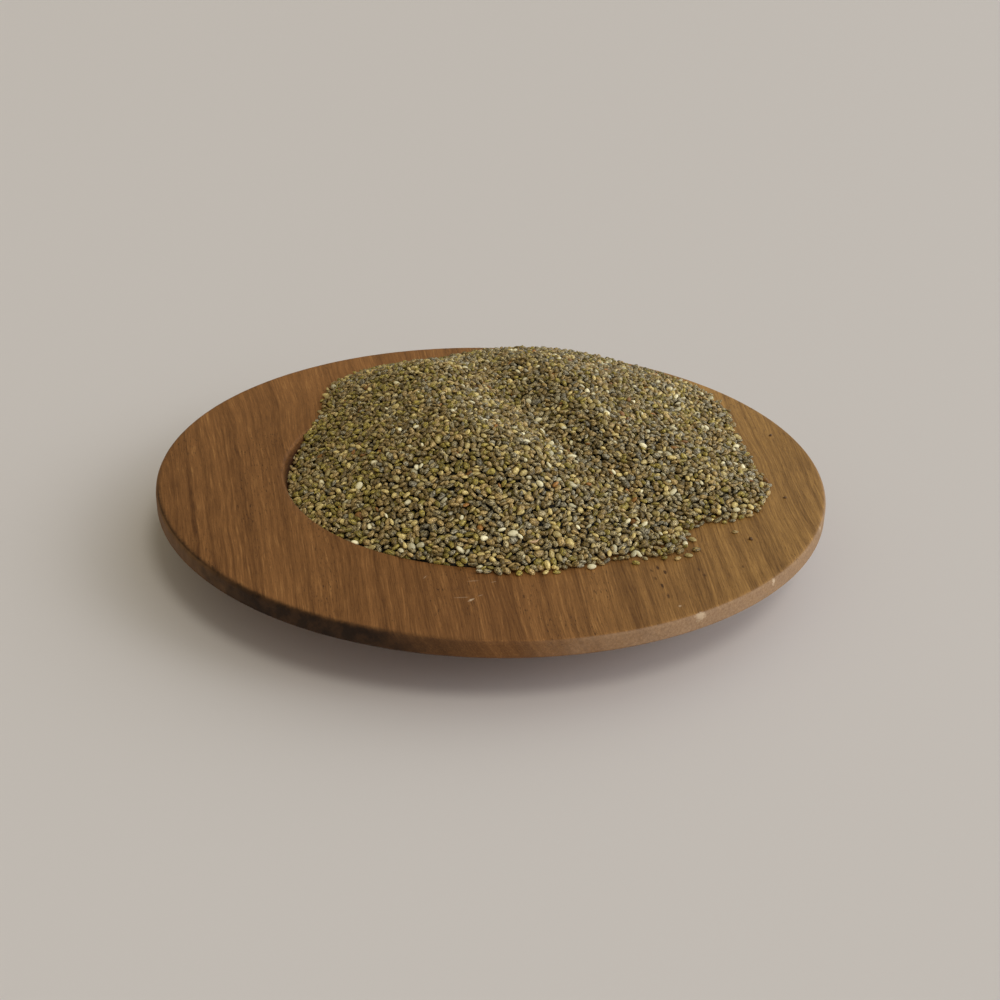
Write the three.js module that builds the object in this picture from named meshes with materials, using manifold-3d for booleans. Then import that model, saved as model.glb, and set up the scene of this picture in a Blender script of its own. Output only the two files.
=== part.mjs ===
// Dish of chia seeds: a round plate turned from one piece of wood, with a wide flat rim round a
// sunken well, and a heap of chia seeds that fills the well and spills over the rim at the front,
// the right and the back. Millimetres, +Z up, +Y away from the viewer. The origin is the centre of
// the plate's foot, on the surface that it stands on.
import * as THREE from "three";
import { mergeVertices } from "three/addons/utils/BufferGeometryUtils.js";
import Module from "manifold-3d";

const wasm = await Module();
wasm.setup();

// Plate
const PLATE_RADIUS = 80;
const RIM_TOP = 18; // the rim's top face above the table
const BAND_HEIGHT = 4.15; // the rim's thickness at its outer edge
const BAND_ROUND = 0.9; // rounding of the band's upper edge
const BAND_CHAMFER = 0.5; // bevel of the band's lower edge
const FOOT_RADIUS = 43;
const FOOT_BEVEL = 0.7;
const BELLY_POWER = 1.5; // how quickly the underside flattens towards the edge
const WELL_RADIUS = 50.3; // where the well's wall would meet the rim's top face
const WELL_DEPTH = 11;
const WALL_LEAN = 18; // degrees from upright: the well closes in on its way down
const WELL_EDGE_ROUND = 1; // softened edge between the rim and the wall
const WELL_FILLET = 3.5; // round between the wall and the floor
const PLATE_SIDES = 60;
const BELLY_STEPS = 5;
const ARC_STEPS = 3;

// Heap
const GAP = 0.3; // clearance between the seeds and the wood
const SEED = { length: 2.05, width: 1.32, thickness: 0.85 };
const TOE = 0.5; // height of the heap's edge on the rim
// Each ridge is a line of [x, y, height above the rim], whose sides fall away at one slope.
const MAIN_RIDGE = {
  line: [[3, -18, 13.3], [-5, -10, 14.9], [-15, 33, 11.8]],
  slope: 0.46,
  crown: 7.6,
};
const FRONT_TONGUE = { line: [[3, -18, 9.8], [35.5, -37.7, 1]], slope: 0.3, crown: 6.9 };
const SIDE_MOUND = {
  line: [[11.6, 42.8, 10.8], [19.6, 28.7, 12.8], [25.7, 3, 11.4], [46.4, -9, 5.4]],
  slope: 0.32,
  crown: 3.1,
};
const RIDGES = [MAIN_RIDGE, FRONT_TONGUE, SIDE_MOUND];
const RIDGE_BLEND = 0.8;
// Along these lines the seeds have sunk a little: by the left wall, and further back on the rim.
const WALL_HOLLOW = { line: [[-50, 6], [-40, -31], [-18, -48]], depth: 1.4, reach: 12 };
const RIM_HOLLOW = { line: [[-47, 30], [-47, 34]], depth: 0.9, reach: 8 };
const HOLLOWS = [WALL_HOLLOW, RIM_HOLLOW];
const HEAP_REACH = 76; // no seed lies further out than this
const UNDERSIDE_SIDES = 36; // the heap's hidden underside is coarser than the plate
const OFF_HEAP_TOP = 14; // the core's top where the rim is bare, inside the wood
const CORE_BOTTOM = -1;
const CUT_REACH = 228;
const CUT_BOTTOM = -5;
const SMALLEST_DETAIL = 0.02;
const HEAP_DRAW = 41; // starts the random numbers of the heap

// Relief of the heap: every third point of a triangular net is raised, as one seed stands proud
const NET_PITCH = 2.05;
const NET_SHIFT = 0.22; // each point strays this far, as a share of the pitch
const BUMP_RAISED = 0.42;
const BUMP_SUNK = -0.22;
const BUMP_SPREAD = 0.2; // either way
const LOOSE_SEEDS = 64;
const LOOSE_SPACING = 9.5;
const LOOSE_TRIES = 20000;
const LOOSE_LOWEST = -1; // height of the heap, above the rim, where the lowest loose seeds lie
const LOOSE_TILT = 0.35; // radians either way
const LOOSE_SIZE_SPREAD = 0.1;
const LOOSE_PROUD = 0.35; // height of a loose seed's middle above the heap, as a share of its thickness
const SLOPE_REACH = 0.5; // the slope under a seed is taken this far to each side of it

const WOOD = new THREE.MeshStandardMaterial({ color: 0x6d4a2c, roughness: 0.6, metalness: 0 });
const CHIA = new THREE.MeshStandardMaterial({ color: 0x6b5f3c, roughness: 0.55, metalness: 0 });

// Seeded random numbers from 0 to 1, the same on every run.
function randomFrom(seed) {
  let state = seed >>> 0;
  return () => {
    state = (state + 0x6d2b79f5) >>> 0;
    let t = state;
    t = Math.imul(t ^ (t >>> 15), t | 1);
    t ^= t + Math.imul(t ^ (t >>> 7), t | 61);
    return ((t ^ (t >>> 14)) >>> 0) / 4294967296;
  };
}

// A random number between -most and most.
function spread(random, most) {
  return (2 * random() - 1) * most;
}

// A closed three.js geometry as a solid.
function solidOf(geometry) {
  const bare = geometry.index ? geometry.toNonIndexed() : geometry.clone();
  bare.deleteAttribute("normal");
  bare.deleteAttribute("uv");
  const merged = mergeVertices(bare, 1e-4);
  return new wasm.Manifold(
    new wasm.Mesh({
      numProp: 3,
      vertProperties: merged.attributes.position.array,
      triVerts: new Uint32Array(merged.index.array),
    }),
  );
}

// A solid as a three.js geometry.
function geometryOf(solid) {
  const mesh = solid.getMesh();
  const geometry = new THREE.BufferGeometry();
  geometry.setAttribute("position", new THREE.BufferAttribute(mesh.vertProperties, 3));
  geometry.setIndex(new THREE.BufferAttribute(mesh.triVerts, 1));
  const faceted = geometry.toNonIndexed();
  faceted.computeVertexNormals();
  return faceted;
}

// Points of an arc about (r, z), both ends included; angles in degrees from the outward direction.
function arc(r, z, radius, from, to) {
  return Array.from({ length: ARC_STEPS + 1 }, (_, i) => {
    const angle = THREE.MathUtils.degToRad(from + ((to - from) * i) / ARC_STEPS);
    return new THREE.Vector2(r + radius * Math.cos(angle), z + radius * Math.sin(angle));
  });
}

// The upper side of the plate from the well's centre outwards, grown inwards and up by a clearance.
function wellProfile(clearance) {
  const lean = THREE.MathUtils.degToRad(WALL_LEAN);
  const cornerShare = Math.tan(Math.PI / 4 - lean / 2); // from a corner to its round, over the radius
  const floor = RIM_TOP - WELL_DEPTH;
  const filletMiddle = WELL_RADIUS - WELL_DEPTH * Math.tan(lean) - WELL_FILLET * cornerShare;
  const edgeMiddle = WELL_RADIUS + WELL_EDGE_ROUND * cornerShare;
  const fillet = WELL_FILLET - clearance;
  const edge = WELL_EDGE_ROUND + clearance;
  return [
    new THREE.Vector2(0, floor + clearance),
    ...arc(filletMiddle, floor + WELL_FILLET, fillet, -90, -WALL_LEAN),
    ...arc(edgeMiddle, RIM_TOP - WELL_EDGE_ROUND, edge, 180 - WALL_LEAN, 90),
  ];
}

// The underside from the rim's lower edge in to the foot, a shallow curve that steepens inwards.
function bellyProfile() {
  const outer = PLATE_RADIUS - BAND_CHAMFER;
  const edge = RIM_TOP - BAND_HEIGHT;
  return Array.from({ length: BELLY_STEPS + 1 }, (_, i) => {
    const out = 1 - i / BELLY_STEPS;
    const rise = 1 - Math.pow(1 - out, BELLY_POWER);
    return new THREE.Vector2(
      THREE.MathUtils.lerp(FOOT_RADIUS, outer, out),
      THREE.MathUtils.lerp(FOOT_BEVEL, edge, rise),
    );
  });
}

function plate() {
  const profile = [
    ...wellProfile(0),
    ...arc(PLATE_RADIUS - BAND_ROUND, RIM_TOP - BAND_ROUND, BAND_ROUND, 90, 0),
    new THREE.Vector2(PLATE_RADIUS, RIM_TOP - BAND_HEIGHT + BAND_CHAMFER),
    ...bellyProfile(),
    new THREE.Vector2(FOOT_RADIUS - FOOT_BEVEL, 0),
    new THREE.Vector2(0, 0),
  ].reverse();
  return new THREE.LatheGeometry(profile, PLATE_SIDES).rotateX(Math.PI / 2);
}

// The segments of a line: each one's ends, where along it (x, y) is nearest, and how far away.
function segments(line, x, y) {
  return line.slice(1).map((end, i) => {
    const [x0, y0] = line[i];
    const [spanX, spanY] = [end[0] - x0, end[1] - y0];
    const along = ((x - x0) * spanX + (y - y0) * spanY) / (spanX ** 2 + spanY ** 2);
    const share = THREE.MathUtils.clamp(along, 0, 1);
    const away = Math.hypot(x - x0 - share * spanX, y - y0 - share * spanY);
    return { start: line[i], end, share, away };
  });
}

// Height of one ridge above the rim at (x, y), round at its crest and straight down its sides.
function ridgeHeight(ridge, x, y) {
  const heights = segments(ridge.line, x, y).map(({ start, end, share, away }) => {
    const crest = THREE.MathUtils.lerp(start[2], end[2], share);
    return crest - ridge.slope * (Math.hypot(away, ridge.crown) - ridge.crown);
  });
  return Math.max(...heights);
}

function hollowDepth(hollow, x, y) {
  const away = Math.min(...segments(hollow.line, x, y).map((segment) => segment.away));
  return hollow.depth * Math.exp(-((away / hollow.reach) ** 2));
}

// Height of the whole heap above the rim at (x, y): the ridges run softly into each other.
function heapHeight(x, y) {
  const heights = RIDGES.map((ridge) => ridgeHeight(ridge, x, y));
  const highest = Math.max(...heights);
  const sum = heights.reduce((total, h) => total + Math.exp((h - highest) / RIDGE_BLEND), 0);
  const sunk = HOLLOWS.reduce((total, hollow) => total + hollowDepth(hollow, x, y), 0);
  return highest + RIDGE_BLEND * Math.log(sum) - sunk;
}

// Seeds lie where they are in the well, or on the rim where the heap stands above it.
function carriesSeeds(x, y) {
  const r = Math.hypot(x, y);
  return r < WELL_RADIUS || (r < HEAP_REACH && heapHeight(x, y) > 0);
}

function heapTop(x, y) {
  return RIM_TOP + GAP + TOE + heapHeight(x, y);
}

// The heap's core: a sheared block, so that its top is a net of equilateral triangles, with each
// point of the net moved to the heap's height there, and raised or sunk by part of a seed.
function core(random) {
  const row = (NET_PITCH * Math.sqrt(3)) / 2;
  const rows = 2 * Math.ceil(HEAP_REACH / row);
  const columns = 2 * Math.ceil((HEAP_REACH * (1 + Math.tan(Math.PI / 6))) / NET_PITCH);
  const block = new THREE.BoxGeometry(columns * NET_PITCH, rows * row, 1, columns, rows, 1);
  const relief = new Map();
  const position = block.attributes.position;
  for (let i = 0; i < position.count; i += 1) {
    const column = Math.round(position.getX(i) / NET_PITCH);
    const line = Math.round(position.getY(i) / row);
    const key = column + "," + line;
    if (!relief.has(key)) {
      const raised = (((column + line) % 3) + 3) % 3 === 0;
      relief.set(key, {
        x: spread(random, NET_SHIFT * NET_PITCH),
        y: spread(random, NET_SHIFT * NET_PITCH),
        z: (raised ? BUMP_RAISED : BUMP_SUNK) + spread(random, BUMP_SPREAD),
      });
    }
    const bump = relief.get(key);
    const x = (column - line / 2) * NET_PITCH + bump.x;
    const y = line * row + bump.y;
    const top = carriesSeeds(x, y) ? heapTop(x, y) + bump.z : OFF_HEAP_TOP;
    position.setXYZ(i, x, y, position.getZ(i) > 0 ? top : CORE_BOTTOM);
  }
  return solidOf(block);
}

// What the heap may not enter: the plate's upper side and a clearance over it.
function keepOut() {
  const profile = [
    ...wellProfile(GAP),
    new THREE.Vector2(CUT_REACH, RIM_TOP + GAP),
    new THREE.Vector2(CUT_REACH, CUT_BOTTOM),
    new THREE.Vector2(0, CUT_BOTTOM),
  ].reverse();
  return solidOf(new THREE.LatheGeometry(profile, UNDERSIDE_SIDES).rotateX(Math.PI / 2));
}

// One plump seed, lying flat on the heap's slope at (x, y), half sunk among the others.
function looseSeed(x, y, random) {
  const riseX = heapHeight(x + SLOPE_REACH, y) - heapHeight(x - SLOPE_REACH, y);
  const riseY = heapHeight(x, y + SLOPE_REACH) - heapHeight(x, y - SLOPE_REACH);
  const upright = new THREE.Vector3(-riseX, -riseY, 2 * SLOPE_REACH).normalize();
  const lie = new THREE.Quaternion().setFromUnitVectors(new THREE.Vector3(0, 0, 1), upright);
  const turn = new THREE.Quaternion().setFromEuler(
    new THREE.Euler(spread(random, LOOSE_TILT), spread(random, LOOSE_TILT), random() * Math.PI, "XYZ"),
  );
  const size = 1 + spread(random, LOOSE_SIZE_SPREAD);
  const place = new THREE.Matrix4().compose(
    new THREE.Vector3(x, y, heapTop(x, y) + SEED.thickness * LOOSE_PROUD),
    lie.multiply(turn),
    new THREE.Vector3(SEED.length, SEED.width, SEED.thickness).multiplyScalar(size / 2),
  );
  return solidOf(new THREE.OctahedronGeometry(1, 1).applyMatrix4(place));
}

// Places for the loose seeds, spread evenly over the heap.
function loosePlaces(random) {
  const places = [];
  for (let tries = 0; tries < LOOSE_TRIES && places.length < LOOSE_SEEDS; tries += 1) {
    const x = spread(random, HEAP_REACH);
    const y = spread(random, HEAP_REACH);
    const free = places.every(([px, py]) => Math.hypot(px - x, py - y) > LOOSE_SPACING);
    if (free && heapHeight(x, y) > LOOSE_LOWEST && carriesSeeds(x, y)) places.push([x, y]);
  }
  return places;
}

function heap() {
  const random = randomFrom(HEAP_DRAW);
  let solid = core(random);
  for (const [x, y] of loosePlaces(random)) {
    solid = solid.add(looseSeed(x, y, random));
  }
  const bodies = solid.subtract(keepOut()).decompose();
  bodies.sort((a, b) => b.volume() - a.volume());
  return geometryOf(bodies[0].simplify(SMALLEST_DETAIL));
}

const dish = new THREE.Mesh(plate(), WOOD);
dish.name = "dish";

const chiaHeap = new THREE.Mesh(heap(), CHIA);
chiaHeap.name = "chia_heap";

const model = new THREE.Group();
model.name = "dish_of_chia_seeds";
model.add(dish, chiaHeap);

export default model;
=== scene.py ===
import math

import bmesh
import bpy
import numpy as np
from mathutils import Matrix, Vector


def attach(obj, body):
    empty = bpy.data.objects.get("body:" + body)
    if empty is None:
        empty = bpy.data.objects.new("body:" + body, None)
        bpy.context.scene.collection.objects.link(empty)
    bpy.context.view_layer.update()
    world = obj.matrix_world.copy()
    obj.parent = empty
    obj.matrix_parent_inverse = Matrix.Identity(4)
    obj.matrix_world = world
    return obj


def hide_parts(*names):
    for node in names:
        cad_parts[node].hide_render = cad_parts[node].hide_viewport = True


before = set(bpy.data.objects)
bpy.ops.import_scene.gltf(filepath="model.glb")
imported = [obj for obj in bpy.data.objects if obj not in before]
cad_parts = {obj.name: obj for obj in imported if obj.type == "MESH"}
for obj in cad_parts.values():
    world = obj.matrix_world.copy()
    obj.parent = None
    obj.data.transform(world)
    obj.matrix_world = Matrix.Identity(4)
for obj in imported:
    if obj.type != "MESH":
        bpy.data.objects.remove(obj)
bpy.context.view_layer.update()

MM = 0.001


# ---------------------------------------------------------------------------------------------
# The plate. One round of mid-brown hardwood, turned on a lathe: a wide flat rim, a sunken well
# with a steep wall, a square edge with its corners just broken, and a shallow belly that runs in
# to a flat foot. It is oiled, not varnished, and on the right its edge is paler and drier than its
# face. Its colour also holds painted light and shade: the left of the edge and the back of the rim
# are painted paler, and the well's wall and the front left of the edge are painted darker.
# ---------------------------------------------------------------------------------------------
PLATE_RADIUS = 80.0
RIM_TOP = 18.0
EDGE_THICKNESS = 4.15
EDGE_LOW = RIM_TOP - EDGE_THICKNESS
WELL_RADIUS = 50.3
WELL_FLOOR = 7.0
WALL_LEAN = math.radians(18)
FOOT_RADIUS = 43.0
FOOT_BEVEL = 0.7
LOWER_BEVEL = 0.5
BELLY_POWER = 1.5
WELL_FOOT_ROUND = 2.55
WELL_EDGE_ROUND = 0.75
RIM_EDGE_ROUND = 0.9
# Rings on the flat faces, so that they shade evenly up to their rounded corners.
FLOOR_RINGS = (30, 42)
RIM_RINGS = (53.2, 66, 78.4)
FOOT_RING = 38
BELLY_RINGS = 13
TURNING_STEPS = 240
ON_RING = 0.01 * MM


def turned(outline, steps, merge):
    """A bmesh turned about the z axis, from an outline of (radius, height) pairs."""
    bm = bmesh.new()
    points = [bm.verts.new((r, 0, z)) for r, z in outline]
    lines = [bm.edges.new(pair) for pair in zip(points, points[1:])]
    bmesh.ops.spin(bm, geom=points + lines, cent=(0, 0, 0), axis=(0, 0, 1), angle=math.tau,
                   steps=steps, use_merge=True)
    bmesh.ops.remove_doubles(bm, verts=bm.verts, dist=merge)
    return bm


def smooth_mesh(name, bm):
    """Ends a bmesh as a smooth mesh whose faces all look outwards."""
    bmesh.ops.recalc_face_normals(bm, faces=bm.faces)
    mesh = bpy.data.meshes.new(name)
    bm.to_mesh(mesh)
    bm.free()
    mesh.shade_smooth()
    return mesh


def in_scene(name, data):
    """A new object in the scene, at the origin."""
    made = bpy.data.objects.new(name, data)
    bpy.context.scene.collection.objects.link(made)
    return made


def belly(share):
    """Point of the underside: share 0 is at the foot, 1 at the rim's lower edge."""
    rise = 1 - (1 - share) ** BELLY_POWER
    r = FOOT_RADIUS + (PLATE_RADIUS - LOWER_BEVEL - FOOT_RADIUS) * share
    return r, FOOT_BEVEL + (EDGE_LOW - FOOT_BEVEL) * rise


def turned_plate():
    wall_foot = WELL_RADIUS - (RIM_TOP - WELL_FLOOR) * math.tan(WALL_LEAN)
    outline = [(r, WELL_FLOOR) for r in (0, *FLOOR_RINGS, wall_foot)]
    outline += [(r, RIM_TOP) for r in (WELL_RADIUS, *RIM_RINGS, PLATE_RADIUS)]
    outline += [(PLATE_RADIUS, EDGE_LOW + LOWER_BEVEL)]
    outline += [belly(share) for share in np.linspace(1, 0, BELLY_RINGS)]
    outline += [(r, 0) for r in (FOOT_RADIUS - FOOT_BEVEL, FOOT_RING, 0)]
    bm = turned([(r * MM, z * MM) for r, z in outline], TURNING_STEPS, 1e-6)

    def ring(r, z):
        def on(vert):
            off = math.hypot(vert.co.x, vert.co.y) - r * MM
            return abs(off) < ON_RING and abs(vert.co.z - z * MM) < ON_RING
        return [edge for edge in bm.edges if all(on(vert) for vert in edge.verts)]

    # each corner's radius and height, how far it is rounded and in how many cuts
    for r, z, size, cuts in (
        (wall_foot, WELL_FLOOR, WELL_FOOT_ROUND, 7),
        (WELL_RADIUS, RIM_TOP, WELL_EDGE_ROUND, 5),
        (PLATE_RADIUS, RIM_TOP, RIM_EDGE_ROUND, 5),
    ):
        bmesh.ops.bevel(bm, geom=ring(r, z), offset=size * MM, affect="EDGES", segments=cuts,
                        profile=0.5, material=-1)
    mesh = smooth_mesh("turned_plate", bm)
    mesh.set_sharp_from_angle(angle=math.radians(40))
    return in_scene("turned_plate", mesh)


def place(tree, kind, **settings):
    """Adds one node to a node tree, with its settings."""
    made = tree.nodes.new(kind)
    for name, value in settings.items():
        setattr(made, name, value)
    return made


def give(tree, socket, value):
    """Feeds an input: from another node's output, or with a plain number, colour or vector."""
    if isinstance(value, bpy.types.NodeSocket):
        tree.links.new(value, socket)
    else:
        socket.default_value = value


def maths(tree, operation, *values, clamp=False):
    made = place(tree, "ShaderNodeMath", operation=operation, use_clamp=clamp)
    for socket, value in zip(made.inputs, values):
        give(tree, socket, value)
    return made.outputs[0]


def ramp(tree, value, low, high):
    """0 below low, 1 above high, smooth between."""
    made = place(tree, "ShaderNodeMapRange", interpolation_type="SMOOTHSTEP")
    for name, v in (("Value", value), ("From Min", low), ("From Max", high)):
        give(tree, made.inputs[name], v)
    return made.outputs["Result"]


def noise(tree, vector, scale, detail=2.0, roughness=0.5, w=None):
    made = place(tree, "ShaderNodeTexNoise", noise_dimensions="3D" if w is None else "4D")
    settings = {"Vector": vector, "Scale": scale, "Detail": detail, "Roughness": roughness}
    if w is not None:
        settings["W"] = w
    for name, value in settings.items():
        give(tree, made.inputs[name], value)
    return made.outputs["Fac"]


def vector_of(tree, x, y, z):
    made = place(tree, "ShaderNodeCombineXYZ")
    for socket, value in zip(made.inputs, (x, y, z)):
        give(tree, socket, value)
    return made.outputs[0]


def mix(tree, share, a, b, blend="MIX"):
    # the node has its sockets for numbers and vectors first, under the same names
    made = place(tree, "ShaderNodeMix", data_type="RGBA", blend_type=blend, clamp_factor=True)
    for socket, value in ((made.inputs[0], share), (made.inputs[6], a), (made.inputs[7], b)):
        give(tree, socket, value)
    return made.outputs[2]


def tinted(tree, tone, share, strength, shade):
    """A tone with another one over it, where share is 1, as strongly as strength says."""
    return mix(tree, maths(tree, "MULTIPLY", share, strength), tone, shade)


def new_group(name, inputs, outputs):
    """An empty node group. inputs and outputs are (name, 'Float' | 'Vector' | 'Color') pairs."""
    tree = bpy.data.node_groups.new(name, "ShaderNodeTree")
    for direction, sockets in (("INPUT", inputs), ("OUTPUT", outputs)):
        for socket, kind in sockets:
            tree.interface.new_socket(socket, in_out=direction, socket_type="NodeSocket" + kind)
    return tree, place(tree, "NodeGroupInput").outputs, place(tree, "NodeGroupOutput").inputs


def use_group(tree, group, **values):
    made = place(tree, "ShaderNodeGroup", node_tree=group)
    for name, value in values.items():
        give(tree, made.inputs[name], value)
    return made.outputs


def colour(*srgb):
    """An 8-bit sRGB colour as linear RGBA."""
    share = [v / 255 for v in srgb]
    return [v / 12.92 if v <= 0.04045 else ((v + 0.055) / 1.055) ** 2.4 for v in share] + [1.0]


def new_material(name):
    """A material with one Principled shader and an object-space position to draw patterns on."""
    material = bpy.data.materials.new(name)
    material.use_nodes = True
    tree = material.node_tree
    tree.nodes.clear()
    shader = place(tree, "ShaderNodeBsdfPrincipled")
    give(tree, place(tree, "ShaderNodeOutputMaterial").inputs["Surface"], shader.outputs[0])
    return material, tree, shader.inputs


def bump(tree, height, strength, distance):
    made = place(tree, "ShaderNodeBump")
    for name, value in (("Strength", strength), ("Distance", distance), ("Height", height)):
        give(tree, made.inputs[name], value)
    return made.outputs[0]


# The grain leans 8 degrees, fans out a little from left to right and waves, and its bands slope
# through the plate's thickness.
GRAIN_LEAN = 0.14
GRAIN_FAN = -0.0015
GRAIN_WAVE = 4.0
BAND_SLOPE = 0.8
# Growth bands of this board: middle, half width (mm across the grain), how much lighter.
GROWTH_BANDS = [
    (-74, 1.8, -0.2), (-70, 1.2, -0.08), (-49.5, 2.5, -0.08), (-39, 3.0, 0.08), (-33, 0.9, -0.09),
    (-31, 0.8, -0.09), (-28.5, 1.0, 0.07), (-25, 1.6, 0.1), (-20, 2.0, -0.1), (-8.5, 1.8, -0.06),
    (5.5, 1.5, -0.08), (10.5, 2.0, 0.1), (16, 1.2, -0.07), (33, 0.9, -0.12), (38.3, 1.3, 0.12),
    (41.5, 1.2, -0.08), (46.5, 1.5, 0.08), (50, 1.1, 0.18), (53, 1.0, -0.1), (55.8, 1.3, -0.2),
    (63, 2.0, 0.08),
]


def grain_group():
    """Long grain in millimetres: growth bands, fibre streaks, short strokes, open pores and dark
    flecks as masks from 0 to 1, and the distance across the grain."""
    inputs = [("Vector", "Vector")]
    names = ("Bands", "Streaks", "Strokes", "Pores", "Flecks", "Across")
    tree, given, out = new_group("long_grain", inputs, [(name, "Float") for name in names])
    parts = place(tree, "ShaderNodeSeparateXYZ")
    give(tree, parts.inputs[0], given["Vector"])
    x, y, z = (maths(tree, "MULTIPLY", part, 1 / MM) for part in parts.outputs)

    def stretched(across_share, along_share, detail, roughness):
        at = vector_of(tree, maths(tree, "MULTIPLY", across, across_share),
                       maths(tree, "MULTIPLY", along, along_share),
                       maths(tree, "MULTIPLY", z, across_share))
        return noise(tree, at, 1.0, detail, roughness)

    lean = maths(tree, "MULTIPLY_ADD", x, GRAIN_FAN, GRAIN_LEAN)
    along = maths(tree, "MULTIPLY_ADD", x, -GRAIN_LEAN, y)
    wavy = noise(tree, vector_of(tree, maths(tree, "MULTIPLY", x, 0.05),
                                 maths(tree, "MULTIPLY", y, 0.018), 0.0), 1.0, 2.0)
    wavy = maths(tree, "MULTIPLY_ADD", wavy, GRAIN_WAVE, -GRAIN_WAVE / 2 - BAND_SLOPE * RIM_TOP)
    across = maths(tree, "MULTIPLY_ADD", z, BAND_SLOPE, maths(tree, "ADD", wavy, x))
    across = maths(tree, "MULTIPLY_ADD", y, lean, across)
    slow = maths(tree, "MULTIPLY", along, 0.006)

    def banded(across_share, layer, *settings):
        at = vector_of(tree, maths(tree, "MULTIPLY", across, across_share), slow, layer)
        return noise(tree, at, 1.0, *settings)

    broad, narrow = banded(0.2, 0.0, 2.0), banded(0.9, 5.0, 3.0, 0.6)
    bands = maths(tree, "MULTIPLY_ADD", broad, 0.45, maths(tree, "MULTIPLY", narrow, 0.55))
    give(tree, out["Bands"], ramp(tree, bands, 0.36, 0.64))
    give(tree, out["Streaks"], ramp(tree, stretched(2.5, 0.1, 4.0, 0.65), 0.32, 0.7))
    give(tree, out["Strokes"], ramp(tree, stretched(5.0, 0.28, 2.0, 0.5), 0.56, 0.72))
    give(tree, out["Pores"], ramp(tree, stretched(6.5, 0.75, 1.0, 0.4), 0.58, 0.74))
    clusters = ramp(tree, stretched(0.1, 0.03, 1.0, 0.5), 0.5, 0.62)
    flecks = ramp(tree, stretched(2.6, 0.5, 2.0, 0.6), 0.6, 0.7)
    give(tree, out["Flecks"], maths(tree, "MULTIPLY", flecks, clusters))
    give(tree, out["Across"], across)
    return tree


def mark_group():
    """One small mark: 1 inside a ragged oval, 0 outside. Spot and Reach are in metres."""
    inputs = [(name, "Vector") for name in ("Vector", "Spot", "Turn", "Reach")]
    tree, given, out = new_group("mark", inputs, [("Mask", "Float")])
    local = place(tree, "ShaderNodeMapping", vector_type="TEXTURE")
    sources = {"Vector": "Vector", "Location": "Spot", "Rotation": "Turn", "Scale": "Reach"}
    for socket, name in sources.items():
        give(tree, local.inputs[socket], given[name])
    length = place(tree, "ShaderNodeVectorMath", operation="LENGTH")
    give(tree, length.inputs[0], local.outputs[0])
    ragged = noise(tree, given["Vector"], 2600.0, 2.0, 0.6)
    edge = maths(tree, "MULTIPLY_ADD", ragged, 1.1, length.outputs["Value"])
    give(tree, out["Mask"], ramp(tree, edge, 1.45, 0.95))
    return tree


LONG_GRAIN = grain_group()
MARK = mark_group()

# Marks on the rim and its edge: x, y, turn in degrees, half length, half width, strength.
PALE_MARKS = [
    (-3.6, -64.2, 42, 1.1, 0.4, 0.8),
    (-5.6, -63.3, 8, 2.2, 0.22, 0.3),
    (-1.7, -62.3, 35, 0.8, 0.22, 0.35),
    (-3.4, -56.4, 12, 1.6, 0.22, 0.35),
    (0.9, -56.6, 28, 0.9, 0.2, 0.35),
    (-13.5, -55.2, 65, 0.9, 0.2, 0.35),
    (39.2, -64.7, 60, 0.5, 0.45, 0.6),
    (43.3, -67.3, 33, 2.0, 0.7, 0.7),
    (60.5, -52.4, 49, 0.7, 0.6, 0.9),
    (74.9, -28.0, 70, 1.2, 0.5, 0.5),
]
DARK_MARKS = [
    (36.0, -48.9, 100, 1.4, 0.45, 0.85),
    (37.4, -50.7, 95, 1.2, 0.5, 0.85),
    (34.6, -50.2, 110, 0.9, 0.35, 0.6),
    (36.3, -56.6, 97, 1.5, 0.45, 0.85),
    (37.2, -60.8, 93, 1.3, 0.4, 0.7),
    (35.2, -53.6, 99, 0.9, 0.4, 0.6),
    (44.8, -49.3, 98, 1.1, 0.35, 0.6),
    (45.8, -51.6, 96, 0.9, 0.4, 0.6),
    (7.2, -62.3, 98, 1.0, 0.35, 0.6),
    (54.5, -47.5, 94, 1.0, 0.3, 0.6),
]
MARK_DEPTH = 2.5


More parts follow.
